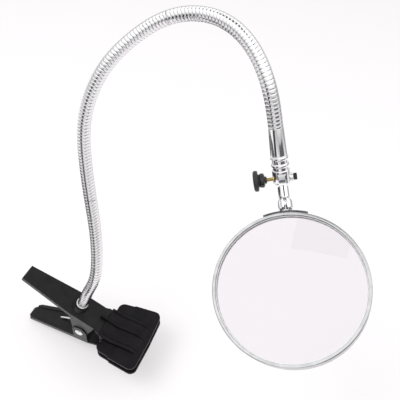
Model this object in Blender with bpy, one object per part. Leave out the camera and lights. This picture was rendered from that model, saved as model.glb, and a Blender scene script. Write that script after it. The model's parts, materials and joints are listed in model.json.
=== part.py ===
"""Clip-on magnifier on a gooseneck arm: a spring clip, a flexible chrome arm, a tilting head and a lens.

The frame's origin is the centre of the upper pad's clamping face. +X runs towards the jaws' mouth,
+Z is up and +Y completes the frame. Every size is in metres.
"""
import math

import bmesh
import bpy
import numpy as np
from mathutils import Matrix, Quaternion, Vector

MM = 0.001
FIT = 0.3 * MM            # gap between pieces that touch
PIVOT_FIT = 0.25 * MM     # radial gap of a pin in its hole
CUT_LAP = 1.0 * MM        # how far a cutter runs past what it cuts

# Clip: two sheet-steel levers on one pin, each with a moulded pad
SHEET = 1.2 * MM
JAW_GAP = 6.0 * MM
PAD_LENGTH = 41.0 * MM
PAD_FRONT_WIDTH = 59.0 * MM
PAD_BACK_WIDTH = 51.0 * MM
PAD_THICKNESS = 3.2 * MM
PAD_SHIFT = 1.5 * MM              # the pads sit this far off the levers' middle line, towards +Y
PAD_STEP = 0.9 * MM               # the front two thirds of the pad stand this much wider
PAD_CORNER = 6.0 * MM
SLEEVE_HALF_WIDTH = 14.3 * MM
SLEEVE_ROOF = 1.2 * MM
SLEEVE_FLOOR = 0.75 * MM          # from the pad's plate up to the lever's tongue
SLEEVE_SETBACK = 0.2 * MM         # the sleeve's foot starts this far in front of the pad's back edge
SLEEVE_NOSE = 1.2 * MM            # moulding beyond the tongue's end
SLEEVE_TOE = 7.0 * MM             # length of the slope from the sleeve down to the pad
HOOD_LENGTH = 0.8 * MM            # how far the sleeve's roof reaches back past the pad
MIDDLE_RIB_LENGTH = 6.0 * MM      # how far the middle rib reaches back past the pad
RIB_SPACING = 11.4 * MM
RIB_WIDTH = 2.2 * MM
RIB_HEIGHT = 1.3 * MM
MIDDLE_RIB_HEIGHT = 2.4 * MM
SIDE_RIB_SETBACK = 1.5 * MM       # the side ribs start this far in front of the pad's back edge
RIB_TOE = 2.0 * MM                # the ribs run out this far past the sleeve
NOTCH_GAP = 0.6 * MM              # from the sleeve to the notch in the pad's back edge
NOTCH_WIDTH = 2.4 * MM
NOTCH_DEPTH = 2.2 * MM
NOTCH_TAPER = 0.3 * MM
PAD_NOSE = 0.6 * MM               # how far the pad's front edge bows out
TONGUE_BEND_X = -10.0 * MM
TONGUE_LENGTH = 18.0 * MM
TONGUE_HALF_WIDTH = 12.9 * MM

PIVOT_X = -43.1 * MM
PIVOT_Z = -3.3 * MM
PIN_RADIUS = 2.2 * MM
PIN_HEAD_RADIUS = 3.8 * MM
PIN_HEAD_HEIGHT = 1.3 * MM
UPPER_SLOPE = math.radians(24.6)
UPPER_LENGTH = 95.4 * MM          # handle end to the tongue's bend
EAR_TO_BEND = 18.4 * MM           # the upper ears' front end to the tongue's bend
EAR_FLARE = 3.5 * MM              # length over which the sheet widens from the ears to the tongue
UPPER_END_HALF_WIDTH = 7.15 * MM
UPPER_FLANGE = 4.4 * MM
EAR_HALF_WIDTH = 11.4 * MM        # outside of the upper lever's ears
UPPER_EAR_RADIUS = 7.9 * MM
LOWER_SLOPE = math.radians(14.7)
LOWER_LENGTH = 61.9 * MM
LOWER_END_HALF_WIDTH = 7.65 * MM
LOWER_FLANGE = 4.4 * MM
LOWER_EAR_RADIUS = 7.2 * MM
LOWER_DEPTH = 17.2 * MM           # pivot down to the lower lever's outer face
LOWER_JAW_FLANGE = 2.2 * MM
LOWER_FLANGE_RUN = 9.0 * MM       # how far the flange carries on along the jaw
LOWER_FLANGE_FADE = 2.0 * MM
HANDLE_CORNER = 3.5 * MM          # corner cut off the lower handle's end

SPRING_WIRE = 2.0 * MM
SPRING_MEAN_RADIUS = PIN_RADIUS + 1.3 * MM + SPRING_WIRE / 2
SPRING_PITCH = SPRING_WIRE + 0.35 * MM
SPRING_TURNS = 3
SPRING_SIDE_GAP = 0.3 * MM        # from the upper leg's end to the lever's flange
UPPER_LEG_REACH = 26.0 * MM       # how far behind the pin each leg ends
LOWER_LEG_REACH = 37.0 * MM

# Base of the arm, a stud through the upper lever
ARM_RADIUS = 5.0 * MM
ARM_BORE_RADIUS = 3.25 * MM
BASE_TO_BEND = 39.5 * MM          # the stud to the tongue's bend, along the upper lever
STUD_RADIUS = 2.45 * MM
STUD_TIP = 1.0 * MM               # stud showing past its nut
FERRULE_RADIUS = ARM_RADIUS + 0.35 * MM
FERRULE_FOOT_RADIUS = FERRULE_RADIUS - 1.82 * MM
FERRULE_LENGTH = 5.2 * MM
BOSS_HEIGHT = 3.5 * MM
BOSS_DISH = 0.9 * MM
DISH_FLOOR_RADIUS = FERRULE_FOOT_RADIUS + 0.53 * MM
DISH_RIM_RADIUS = DISH_FLOOR_RADIUS + 1.05 * MM
BOSS_TOP_RADIUS = DISH_RIM_RADIUS + 0.63 * MM
BOSS_RADIUS = BOSS_TOP_RADIUS + 1.26 * MM
NUT_RADIUS = 4.6 * MM             # across the corners
NUT_HEIGHT = 4.0 * MM
WASHER_HEIGHT = 1.0 * MM

# Gooseneck arm
SPIGOT_RADIUS = ARM_BORE_RADIUS - 0.7 * MM
SPIGOT_LENGTH = 3.0 * MM
ARM_ROUTE = [                     # between the ferrule and the head, chosen by hand
    (-35.0, 2.5, 50.5), (-31.0, 7.5, 63.0), (-31.5, 16.0, 80.0), (-37.0, 27.5, 104.0), (-44.0, 37.5, 131.0),
    (-50.0, 47.0, 160.0), (-52.0, 55.5, 187.0), (-48.5, 64.5, 208.0), (-39.5, 76.0, 228.0), (-26.0, 88.5, 243.5),
    (-7.5, 98.5, 256.5), (14.5, 101.5, 263.5), (39.0, 96.5, 263.0), (59.0, 86.0, 254.0), (72.0, 76.5, 240.0),
]
ARM_END = (81.4, 70.7, 218.6)
ARM_STEP = 8.0 * MM               # between the rings of the arm's tube
BASE_STEP = 3.5 * MM              # the same, where the arm bends tightly out of its ferrule
FLEX_PLACES = (30.0 * MM, 190.0 * MM, 352.0 * MM)   # along the arm
FLEX_HALF_LENGTH = 2.0 * MM
FLEX_AXIS = (0.25, -0.97, 0.0)    # square to the arch, so that the arm lifts and lowers

# Head: socket, thumbscrew, tilting stem
HEAD_AXIS = (0.354, -0.267, -0.896)
KNOB_SIDE = (-0.903, -0.347, -0.253)
SCREW_STATION = 35.0 * MM         # arm end to the thumbscrew
SOCKET_SLEEVE = 18.7 * MM         # length of the plain sleeve above the rings
SLEEVE_TAPER = 0.7 * MM           # how much the sleeve widens on the way down
SOCKET_RADIUS = ARM_RADIUS + 0.9 * MM
GROOVE_RADIUS = SOCKET_RADIUS - 0.8 * MM
GROOVE_WIDTH = 2.2 * MM
BAND_WIDTH = 2.8 * MM             # of the raised bands between the grooves
SOCKET_END = 4.4 * MM             # past the thumbscrew
SOCKET_CHAMFER = 1.3 * MM
SCREW_RADIUS = 1.4 * MM
SCREW_HOLE_RADIUS = SCREW_RADIUS + PIVOT_FIT
STEM_BEND = math.radians(52.6)
TANG_THICKNESS = 4.4 * MM
TANG_RADIUS = 3.5 * MM
STEM_SHOULDER = 6.9 * MM          # thumbscrew to the stem's round part
STEM_RADIUS = 3.6 * MM
BALL_STATION = 19.0 * MM          # thumbscrew to the ball's centre
BALL_RADIUS = 3.2 * MM
CUP_RADIUS = BALL_RADIUS + PIVOT_FIT + 1.15 * MM
CUP_LENGTH = BALL_RADIUS + PIVOT_FIT + 1.45 * MM      # past the ball's centre
CUP_MOUTH_RADIUS = BALL_RADIUS - 0.45 * MM
CUP_FLARE = 1.6 * MM              # length over which the stem widens into its cup
SAW_CUT = 2.1 * MM
KNOB_TIP = SOCKET_RADIUS + 3.9 * MM       # from the head's axis
KNOB_LENGTH = 9.2 * MM
KNOB_RADIUS = 7.0 * MM
KNOB_HUB_RADIUS = 4.83 * MM
KNOB_BORE_DEPTH = 6.0 * MM
SCREW_END = 0.4 * MM              # screw showing past its nut
CLAMP_NUT_RADIUS = 2.5 * MM
CLAMP_NUT_HEIGHT = 2.2 * MM
CLAMP_WASHER_RADIUS = 2.9 * MM
CLAMP_WASHER_HEIGHT = 1.2 * MM

# Lens and its ring
LENS_DROP = (0.342, -0.8905, -0.300)    # ball to lens centre
LENS_NORMAL = (-0.215, -0.385, 0.898)
LENS_RADIUS = 45.0 * MM
LENS_EDGE = 2.5 * MM
LENS_CURVE = 300.0 * MM
RING_WALL = 0.7 * MM
RING_DEPTH = 10.0 * MM
RING_LIP = 0.8 * MM
RING_LIP_RADIUS = LENS_RADIUS - 0.9 * MM
SEAT_HEIGHT = 0.75 * MM
SEAT_INNER = LENS_RADIUS - 1.3 * MM
RETAINER_HEIGHT = 1.2 * MM
RETAINER_INNER = LENS_RADIUS - 1.6 * MM
BALL_TO_RING = BALL_RADIUS + 4.9 * MM     # ball centre to the ring's outside
SADDLE_THICKNESS = 1.4 * MM
SADDLE_WIDTH = 8.0 * MM
SADDLE_HALF_ANGLE = math.radians(17)
RIVET_ANGLE = math.radians(12.5)
RIVET_RADIUS = 0.8 * MM
RIVET_TAIL_RADIUS = 1.2 * MM
RIVET_CLEARANCE = 0.85 * MM       # from the retaining ring to a rivet's tail

RING_SEGMENTS = 64
ROUND_SEGMENTS = 24
SMALL_SEGMENTS = 16
TUBE_SEGMENTS = 12

COLOURS = {                       # base colour, roughness, metallic
    "black_steel": ((0.035, 0.035, 0.037), 0.42, 0.6),
    "black_plastic": ((0.040, 0.036, 0.042), 0.50, 0.0),
    "knob_plastic": ((0.015, 0.015, 0.016), 0.28, 0.0),
    "chrome": ((0.86, 0.86, 0.87), 0.08, 1.0),
    "bright_steel": ((0.75, 0.75, 0.76), 0.22, 1.0),
    "grey_steel": ((0.22, 0.22, 0.23), 0.35, 1.0),
    "brass": ((0.78, 0.62, 0.22), 0.25, 1.0),
    "glass": ((0.97, 0.98, 0.98), 0.02, 0.0),
}


# ---------------------------------------------------------------- small tools

def clear_scene():
    for thing in list(bpy.data.objects):
        bpy.data.objects.remove(thing, do_unlink=True)


def material(slot):
    found = bpy.data.materials.get(slot)
    if found:
        return found
    colour, roughness, metallic = COLOURS[slot]
    made = bpy.data.materials.new(slot)
    made.use_nodes = True
    shader = made.node_tree.nodes["Principled BSDF"]
    shader.inputs["Base Color"].default_value = (*colour, 1.0)
    shader.inputs["Roughness"].default_value = roughness
    shader.inputs["Metallic"].default_value = metallic
    if slot == "glass":
        shader.inputs["Transmission Weight"].default_value = 1.0
    return made


def add_object(name, data, slot, matrix=None):
    thing = bpy.data.objects.new(name, data)
    bpy.context.scene.collection.objects.link(thing)
    if slot:
        data.materials.append(material(slot))
    if matrix is not None:
        thing.matrix_world = matrix
    return thing


def finish_mesh(name, bm, slot, matrix=None, smooth=False):
    bmesh.ops.remove_doubles(bm, verts=bm.verts, dist=1e-7)
    bmesh.ops.recalc_face_normals(bm, faces=bm.faces)
    mesh = bpy.data.meshes.new(name)
    bm.to_mesh(mesh)
    bm.free()
    if smooth:
        mesh.shade_smooth()
        mesh.set_sharp_from_angle(angle=math.radians(35))
    return add_object(name, mesh, slot, matrix)


def frame_at(origin, z_axis, x_axis=None):
    """A placement with its Z along z_axis, and its X as near x_axis as that allows."""
    z = Vector(z_axis).normalized()
    x = Vector(x_axis) if x_axis is not None else z.orthogonal()
    x = (x - z * x.dot(z)).normalized()
    y = z.cross(x)
    return Matrix.Translation(Vector(origin)) @ Matrix((x, y, z)).transposed().to_4x4()


def turned(name, profile, slot, matrix, segments=ROUND_SEGMENTS, closed=False):
    """A lathe piece: profile is (radius, distance along the axis), spun about local Z."""
    bm = bmesh.new()
    verts = [bm.verts.new((r, 0.0, z)) for r, z in profile]
    edges = [bm.edges.new(pair) for pair in zip(verts, verts[1:])]
    if closed:
        edges.append(bm.edges.new((verts[-1], verts[0])))
    bmesh.ops.spin(bm, geom=verts + edges, cent=(0, 0, 0), axis=(0, 0, 1), dvec=(0, 0, 0),
                   angle=2 * math.pi, steps=segments, use_merge=True)
    return finish_mesh(name, bm, slot, matrix, smooth=True)


def prism(name, outline, depth_from, depth_to, slot, matrix):
    """A flat outline in local X and Y, extruded along local Z."""
    bm = bmesh.new()
    face = bm.faces.new([bm.verts.new((x, y, depth_from)) for x, y in outline])
    moved = bmesh.ops.extrude_face_region(bm, geom=[face])["geom"]
    verts = [v for v in moved if isinstance(v, bmesh.types.BMVert)]
    bmesh.ops.translate(bm, verts=verts, vec=(0, 0, depth_to - depth_from))
    return finish_mesh(name, bm, slot, matrix)


def side_prism(name, outline, half_width, slot, centre=0.0):
    """An outline in world X and Z, extruded across the clip in Y."""
    across = Matrix(((1, 0, 0, 0), (0, 0, -1, 0), (0, 1, 0, 0), (0, 0, 0, 1)))
    return prism(name, outline, -centre - half_width, -centre + half_width, slot, across)


def tool(thing):
    """Marks a cutter or a piece to be joined: a guide, not a part of the object."""
    thing.hide_render = True
    thing.display_type = "WIRE"
    return thing


def combine(thing, other, operation):
    modifier = thing.modifiers.new(f"{operation.lower()}_{other.name}", "BOOLEAN")
    modifier.object = tool(other)
    modifier.operation = operation
    modifier.solver = "EXACT"


def drill(thing, name, radius, matrix, start, end, segments=SMALL_SEGMENTS):
    rod = turned(name, [(0, start), (radius, start), (radius, end), (0, end)], None, matrix, segments)
    combine(thing, rod, "DIFFERENCE")


def arc(cx, cy, radius, start_deg, end_deg, steps):
    """Points along an arc, from one angle to the other."""
    angles = [math.radians(start_deg + (end_deg - start_deg) * i / steps) for i in range(steps + 1)]
    return [(cx + radius * math.cos(a), cy + radius * math.sin(a)) for a in angles]


def offset_line(points, distance):
    """A polyline moved to its left by distance, with mitred bends."""
    points = [Vector(p) for p in points]
    normals = []
    for a, b in zip(points, points[1:]):
        along = (b - a).normalized()
        normals.append(Vector((-along.y, along.x)))
    moved = [points[0] + normals[0] * distance]
    for i in range(1, len(points) - 1):
        middle = (normals[i - 1] + normals[i]).normalized()
        moved.append(points[i] + middle * (distance / middle.dot(normals[i])))
    moved.append(points[-1] + normals[-1] * distance)
    return [tuple(p) for p in moved]


def height_on(line, x):
    """The height of a polyline at x."""
    return float(np.interp(x, [p[0] for p in line], [p[1] for p in line]))


def pivot_empty(name, place, parent=None):
    """An empty on a joint's axis, which the joint's pieces are parented to."""
    empty = bpy.data.objects.new(name, None)
    bpy.context.scene.collection.objects.link(empty)
    empty.matrix_world = place
    if parent:
        attach(empty, parent)
    return empty


def attach(thing, parent):
    bpy.context.view_layer.update()
    thing.parent = parent
    thing.matrix_parent_inverse = parent.matrix_world.inverted()


# ---------------------------------------------------------------- layout that several pieces share

TONGUE_TOP = PAD_THICKNESS + SLEEVE_FLOOR + SHEET     # above the clamping face
TONGUE_END_X = TONGUE_BEND_X + TONGUE_LENGTH
UPPER_ALONG = Vector((math.cos(UPPER_SLOPE), -math.sin(UPPER_SLOPE)))
UPPER_OUT = Vector((math.sin(UPPER_SLOPE), math.cos(UPPER_SLOPE)))
UPPER_START = Vector((TONGUE_BEND_X, TONGUE_TOP)) - UPPER_ALONG * UPPER_LENGTH
UPPER_EAR_FRONT = UPPER_LENGTH - EAR_TO_BEND          # both from the handle end
BASE_STATION = UPPER_LENGTH - BASE_TO_BEND
LOWER_BASE_Z = PIVOT_Z - LOWER_DEPTH
LOWER_EAR_OUTSIDE = EAR_HALF_WIDTH + FIT + SHEET
LENS_FRONT = RING_DEPTH / 2 - RING_LIP - FIT - SEAT_HEIGHT - FIT    # front of the lens's edge
KEEPER_TOP = LENS_FRONT - LENS_EDGE - FIT
RIVET_PLANE = KEEPER_TOP - RETAINER_HEIGHT - RIVET_CLEARANCE - RIVET_TAIL_RADIUS
RING_RADIUS = LENS_RADIUS + FIT + RING_WALL
PIN_REACH = LOWER_EAR_OUTSIDE + CUT_LAP


def upper_point(station, height):
    """World X and Z at a distance from the handle end and a height above the lever's top."""
    return UPPER_START + UPPER_ALONG * station + UPPER_OUT * height


def world_direction(flat):
    return Vector((flat.x, 0.0, flat.y))


def base_frame():
    spot = upper_point(BASE_STATION, 0.0)
    return frame_at((spot.x, 0.0, spot.y), world_direction(UPPER_OUT), (0, 1, 0))


def head_frames():
    """Placements of the head: arm end, thumbscrew (Z to the knob), ball, and lens centre."""
    along = Vector(HEAD_AXIS).normalized()
    knob = Vector(KNOB_SIDE)
    knob = (knob - along * knob.dot(along)).normalized()
    arm_end = frame_at(Vector(ARM_END) * MM, along, knob)
    screw_spot = Vector(ARM_END) * MM + along * SCREW_STATION
    screw = frame_at(screw_spot, knob, along)
    stem_along = Matrix.Rotation(STEM_BEND, 3, knob) @ along
    stem = frame_at(screw_spot, stem_along, knob)
    ball_spot = screw_spot + stem_along * BALL_STATION
    drop = Vector(LENS_DROP).normalized()
    ball = frame_at(ball_spot, drop, knob)
    lens = frame_at(ball_spot + drop * (BALL_TO_RING + RING_RADIUS), LENS_NORMAL, -drop)
    lens = frame_at(lens.translation, drop.cross(Vector(LENS_NORMAL)).cross(drop), -drop)
    return arm_end, screw, stem, ball, lens


def smooth_route(points, start, end):
    """A cubic spline through points, leaving along start and arriving along end."""
    knots = np.array(points, float)
    chords = np.linalg.norm(np.diff(knots, axis=0), axis=1)
    count = len(knots)
    system = np.zeros((count, count))
    right = np.zeros((count, 3))
    system[0, 0] = system[-1, -1] = 1.0
    right[0], right[-1] = start, end
    for i in range(1, count - 1):
        before, after = chords[i - 1], chords[i]
        system[i, i - 1:i + 2] = after, 2 * (before + after), before
        right[i] = 3 * (after / before * (knots[i] - knots[i - 1]) + before / after * (knots[i + 1] - knots[i]))
    slopes = np.linalg.solve(system, right)
    fine = []
    for i, chord in enumerate(chords):
        for t in np.linspace(0, 1, 40, endpoint=i == count - 2):
            near = (1 + 2 * t) * (1 - t) ** 2 * knots[i] + t * t * (3 - 2 * t) * knots[i + 1]
            fine.append(near + chord * t * (1 - t) * ((1 - t) * slopes[i] - t * slopes[i + 1]))
    fine = np.array(fine)
    length = np.r_[0, np.cumsum(np.linalg.norm(np.diff(fine, axis=0), axis=1))]
    return fine, length


def arm_route():
    """The arm's centre line as points and their distances along it, from the ferrule to the head."""
    base = base_frame()
    out = base.to_3x3() @ Vector((0, 0, 1))
    first = base @ Vector((0, 0, FIT + BOSS_HEIGHT - BOSS_DISH + FIT + FERRULE_LENGTH + FIT))
    along = Vector(HEAD_AXIS).normalized()
    last = Vector(ARM_END) * MM
    points = [first] + [Vector(p) * MM for p in ARM_ROUTE] + [last]
    return smooth_route([tuple(p) for p in points], out, along)


def along_route(route, distance):
    fine, length = route
    spot = Vector([np.interp(distance, length, fine[:, axis]) for axis in range(3)])
    ahead = Vector([np.interp(distance + 0.5 * MM, length, fine[:, axis]) for axis in range(3)])
    back = Vector([np.interp(distance - 0.5 * MM, length, fine[:, axis]) for axis in range(3)])
    return spot, (ahead - back).normalized()


# ---------------------------------------------------------------- clip

def lever_sheet(name, stations, ears, slot):
    """A folded sheet, as its outer surface: stations are (outer point, fold direction, half width,
    flange depth or 0), and ears is (first station, last station, outline between their flange ends)."""
    bm = bmesh.new()
    first_ear, last_ear, ear_outline = ears

    def corner(point, side, half_width):
        return bm.verts.new((point[0], side * half_width, point[1]))

    top, bottom = [], []
    for point, fold, half_width, flange in stations:
        top.append([corner(point, side, half_width) for side in (-1, 1)])
        low = Vector(point) + Vector(fold) * flange
        bottom.append([corner(low, side, half_width) if flange else None for side in (-1, 1)])
    for i in range(len(stations) - 1):
        bm.faces.new((top[i][0], top[i + 1][0], top[i + 1][1], top[i][1]))
        for side in (0, 1):
            if first_ear <= i < last_ear or not (bottom[i][side] and bottom[i + 1][side]):
                continue
            bm.faces.new((top[i][side], bottom[i][side], bottom[i + 1][side], top[i + 1][side]))
    for side, sign in ((0, -1), (1, 1)):
        half_width = stations[first_ear][2]
        rim = [corner(p, sign, half_width) for p in ear_outline]
        tops = [top[i][side] for i in range(last_ear, first_ear - 1, -1)]
        bm.faces.new(tops + [bottom[first_ear][side]] + rim + [bottom[last_ear][side]])
    lever = finish_mesh(name, bm, slot)
    if sheet_points_in(lever.data):
        lever.data.flip_normals()
    folded = lever.modifiers.new("sheet", "SOLIDIFY")
    folded.thickness = SHEET
    folded.offset = -1.0
    folded.use_even_offset = True
    return lever


def sheet_points_in(mesh):
    """Whether an open folded sheet faces the inside of its own fold."""
    middle = sum((v.co for v in mesh.vertices), Vector()) / len(mesh.vertices)
    return sum((f.center - middle).dot(f.normal) * f.area for f in mesh.polygons) < 0


def upper_lever_line():
    """The upper lever's top face in X and Z, from the handle end to the tongue's end."""
    return [tuple(UPPER_START), (TONGUE_BEND_X, TONGUE_TOP), (TONGUE_END_X, TONGUE_TOP)]


def lower_lever_line():
    """The lower lever's outer face in X and Z, from the handle end to the tongue's end."""
    back = PIVOT_X - UPPER_EAR_RADIUS
    front = PIVOT_X + LOWER_EAR_RADIUS - 0.6 * MM
    handle = (back - LOWER_LENGTH * math.cos(LOWER_SLOPE), LOWER_BASE_Z - LOWER_LENGTH * math.sin(LOWER_SLOPE))
    tongue = -JAW_GAP - TONGUE_TOP
    return [handle, (back, LOWER_BASE_Z), (front, LOWER_BASE_Z), (TONGUE_BEND_X, tongue), (TONGUE_END_X, tongue)]


def upper_ear_back():
    """Where the upper lever's ears begin, from its handle end."""
    ear_back_x = PIVOT_X - UPPER_EAR_RADIUS
    return (ear_back_x + UPPER_FLANGE * UPPER_OUT.x - UPPER_START.x) / UPPER_ALONG.x


def upper_lever():
    fold = -UPPER_OUT
    ear_back = upper_ear_back()
    flare_end = UPPER_EAR_FRONT + EAR_FLARE
    stations = [
        (upper_point(0, 0), fold, UPPER_END_HALF_WIDTH, UPPER_FLANGE),
        (upper_point(ear_back, 0), fold, EAR_HALF_WIDTH, UPPER_FLANGE),
        (upper_point(UPPER_EAR_FRONT, 0), fold, EAR_HALF_WIDTH, UPPER_FLANGE),
        (upper_point(flare_end, 0), fold, TONGUE_HALF_WIDTH, 0),
        (upper_point(UPPER_LENGTH, 0), fold, TONGUE_HALF_WIDTH, 0),
        ((TONGUE_END_X, TONGUE_TOP), fold, TONGUE_HALF_WIDTH, 0),
    ]
    outline = arc(PIVOT_X, PIVOT_Z, UPPER_EAR_RADIUS, 180, 360, 12)
    lever = lever_sheet("upper_lever", stations, (1, 2, outline), "black_steel")
    drill(lever, "upper_pin_hole", PIN_RADIUS + PIVOT_FIT, pin_frame(), -PIN_REACH, PIN_REACH)
    drill(lever, "stud_hole", STUD_RADIUS + FIT, base_frame(), -SHEET - CUT_LAP, CUT_LAP)
    return lever


def lower_lever():
    handle, back, front, bend, tongue = lower_lever_line()
    along = Vector((math.cos(LOWER_SLOPE), math.sin(LOWER_SLOPE)))
    handle_fold = Vector((-along.y, along.x))
    up = Vector((0.0, 1.0))
    jaw = (Vector(bend) - Vector(front)).normalized()
    jaw_fold = Vector((-jaw.y, jaw.x))
    corner = HANDLE_CORNER
    flange_end = Vector(front) + jaw * LOWER_FLANGE_RUN
    stations = [
        (handle, handle_fold, LOWER_END_HALF_WIDTH - corner, 0),
        (Vector(handle) + along * corner, handle_fold, LOWER_END_HALF_WIDTH, LOWER_FLANGE / 2),
        (Vector(handle) + along * 2.5 * corner, handle_fold, LOWER_END_HALF_WIDTH + 0.5 * MM, LOWER_FLANGE),
        (back, up, LOWER_EAR_OUTSIDE, LOWER_FLANGE),
        (front, up, LOWER_EAR_OUTSIDE, LOWER_JAW_FLANGE),
        (flange_end, jaw_fold, LOWER_EAR_OUTSIDE, LOWER_JAW_FLANGE),
        (flange_end + jaw * LOWER_FLANGE_FADE, jaw_fold, TONGUE_HALF_WIDTH, 0),
        (bend, jaw_fold, TONGUE_HALF_WIDTH, 0),
        (tongue, up, TONGUE_HALF_WIDTH, 0),
    ]
    outline = arc(PIVOT_X, PIVOT_Z, LOWER_EAR_RADIUS, 180, 0, 12)
    lever = lever_sheet("lower_lever", stations, (3, 4, outline), "black_steel")
    drill(lever, "lower_pin_hole", PIN_RADIUS + PIVOT_FIT, pin_frame(), -PIN_REACH, PIN_REACH)
    return lever


def pin_frame():
    return frame_at((PIVOT_X, 0, PIVOT_Z), (0, 1, 0), (1, 0, 0))


def pivot_pin():
    face = LOWER_EAR_OUTSIDE + FIT
    domed = [(PIN_HEAD_RADIUS, face), (PIN_HEAD_RADIUS, face + 0.5 * PIN_HEAD_HEIGHT),
             (0.6 * PIN_HEAD_RADIUS, face + PIN_HEAD_HEIGHT), (0, face + 1.1 * PIN_HEAD_HEIGHT)]
    far_half = [(PIN_RADIUS, face)] + domed
    near_half = [(r, -z) for r, z in reversed(far_half)]
    return turned("pivot_pin", near_half + far_half, "bright_steel", pin_frame(), SMALL_SEGMENTS)


def pad_edge(side, shift):
    """One side edge of the pad in plan, from the back to the front; side is 1 towards local +Y."""
    half, back, front = PAD_LENGTH / 2, PAD_BACK_WIDTH / 2, PAD_FRONT_WIDTH / 2
    step_x = -half + PAD_LENGTH / 3
    notch = SLEEVE_HALF_WIDTH + NOTCH_GAP
    step_y = back + (front - PAD_STEP - back) / 3
    outer = arc(-half + PAD_CORNER, back - PAD_CORNER, PAD_CORNER, 180, 97, 5)
    outer += [(step_x, step_y), (step_x + PAD_STEP, step_y + PAD_STEP)]
    outer += arc(half - PAD_CORNER, front - PAD_CORNER, PAD_CORNER, 95, 10, 5)
    inner = [(-half, notch), (-half + NOTCH_DEPTH, notch + NOTCH_TAPER),
             (-half + NOTCH_DEPTH, notch + NOTCH_WIDTH - NOTCH_TAPER), (-half, notch + NOTCH_WIDTH)]
    return [(x, side * y) for x, y in inner] + [(x, side * y + shift) for x, y in outer]


def pad_outline(shift):
    """The pad in plan, from the back edge round by +Y to the front and back again."""
    return pad_edge(1, shift) + [(PAD_LENGTH / 2 + PAD_NOSE, shift)] + pad_edge(-1, shift)[::-1]


def jaw_pad(name, plate_line, place, shift):
    """A moulded pad whose sleeve takes a lever's tongue. plate_line is the tongue's outer face in the
    pad's own X and Z, where the clamping face is Z = 0, and shift is how far the pad sits to one side."""
    pad = prism(name, pad_outline(shift), 0.0, PAD_THICKNESS, "black_plastic", Matrix.Identity(4))
    roof = offset_line(plate_line, FIT + SLEEVE_ROOF)
    middle = offset_line(plate_line, -SHEET / 2)
    pad_back = -PAD_LENGTH / 2 + SLEEVE_SETBACK
    sunk = PAD_THICKNESS - CUT_LAP
    roof_end = TONGUE_END_X + FIT + SLEEVE_NOSE
    toe = roof_end + SLEEVE_TOE

    def body(rise, back, foot, front, front_rise):
        bend = rise[-2]
        return [(back, height_on(middle, back)), (back, height_on(rise, back)), bend,
                (roof_end, rise[-1][1]), (front, PAD_THICKNESS + front_rise), (front, sunk),
                (foot, sunk), (foot, height_on(middle, foot))]

    sleeve = body(roof, pad_back - HOOD_LENGTH, pad_back, toe, 0.3 * MM)
    combine(pad, side_prism(f"{name}_sleeve_tool", sleeve, SLEEVE_HALF_WIDTH, None), "UNION")
    for i, (centre, reach, height) in enumerate((
            (-RIB_SPACING, -SIDE_RIB_SETBACK, RIB_HEIGHT), (0.0, MIDDLE_RIB_LENGTH, MIDDLE_RIB_HEIGHT),
            (RIB_SPACING, -SIDE_RIB_SETBACK, RIB_HEIGHT))):
        crown = offset_line(plate_line, FIT + SLEEVE_ROOF + height)
        outline = body(crown, pad_back - reach, pad_back + NOTCH_DEPTH, toe + RIB_TOE, 0.2 * MM)
        combine(pad, side_prism(f"{name}_rib_tool_{i}", outline, RIB_WIDTH / 2, None, shift + centre), "UNION")
    over = offset_line(plate_line, FIT)
    under = offset_line(plate_line, -SHEET - FIT)
    over[-1] = (over[-1][0] + FIT, over[-1][1])
    under[-1] = (under[-1][0] + FIT, under[-1][1])
    pocket = side_prism(f"{name}_pocket_tool", over + under[::-1], TONGUE_HALF_WIDTH + FIT, None)
    combine(pad, pocket, "DIFFERENCE")
    helpers = [m.object for m in pad.modifiers]
    for thing in [pad] + helpers:
        thing.matrix_world = place @ thing.matrix_world
    return pad


def jaw_pads():
    upper = jaw_pad("upper_jaw_pad", upper_lever_line(), Matrix.Identity(4), PAD_SHIFT)
    mirrored = [(x, -JAW_GAP - z) for x, z in lower_lever_line()[2:]]
    turned_over = Matrix.Translation((0, 0, -JAW_GAP)) @ Matrix.Rotation(math.pi, 4, "X")
    lower = jaw_pad("lower_jaw_pad", mirrored, turned_over, -PAD_SHIFT)
    return upper, lower


def wire(name, points, radius, slot):
    """A round wire through points, as a curve with filled ends."""
    curve = bpy.data.curves.new(name, "CURVE")
    curve.dimensions = "3D"
    curve.bevel_depth = radius
    curve.bevel_resolution = 1
    curve.use_fill_caps = True
    spline = curve.splines.new("POLY")
    spline.points.add(len(points) - 1)
    for target, point in zip(spline.points, points):
        target.co = (*point, 1.0)
    return add_object(name, curve, slot)


def tangent_angle(end, clockwise):
    """Where a straight leg from end touches the coil, as an angle about the pin."""
    away = Vector(end) - Vector((PIVOT_X, PIVOT_Z))
    turn = math.acos(SPRING_MEAN_RADIUS / away.length)
    return math.atan2(away.y, away.x) + (-turn if clockwise else turn)


def torsion_spring():
    """A coil on the pin whose legs press the two handles apart."""
    clear = SHEET + FIT + SPRING_WIRE / 2
    upper_end = upper_leg_end(clear)
    lower_end = lower_leg_end(clear)
    start = tangent_angle(upper_end, True)
    finish = tangent_angle(lower_end, False) - 2 * math.pi
    if finish > start:
        finish -= 2 * math.pi
    sweep = finish - start - 2 * math.pi * SPRING_TURNS
    drift = SPRING_PITCH * abs(sweep) / (2 * math.pi)
    lower_y = upper_leg_y() + drift
    steps = int(abs(sweep) / math.radians(24))
    points = [(upper_end[0], lower_y - drift, upper_end[1])]
    for i in range(steps + 1):
        angle = start + sweep * i / steps
        points.append((PIVOT_X + SPRING_MEAN_RADIUS * math.cos(angle), lower_y - drift * (1 - i / steps),
                       PIVOT_Z + SPRING_MEAN_RADIUS * math.sin(angle)))
    points.append((lower_end[0], lower_y, lower_end[1]))
    return wire("torsion_spring", points, SPRING_WIRE / 2, "bright_steel")


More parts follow.
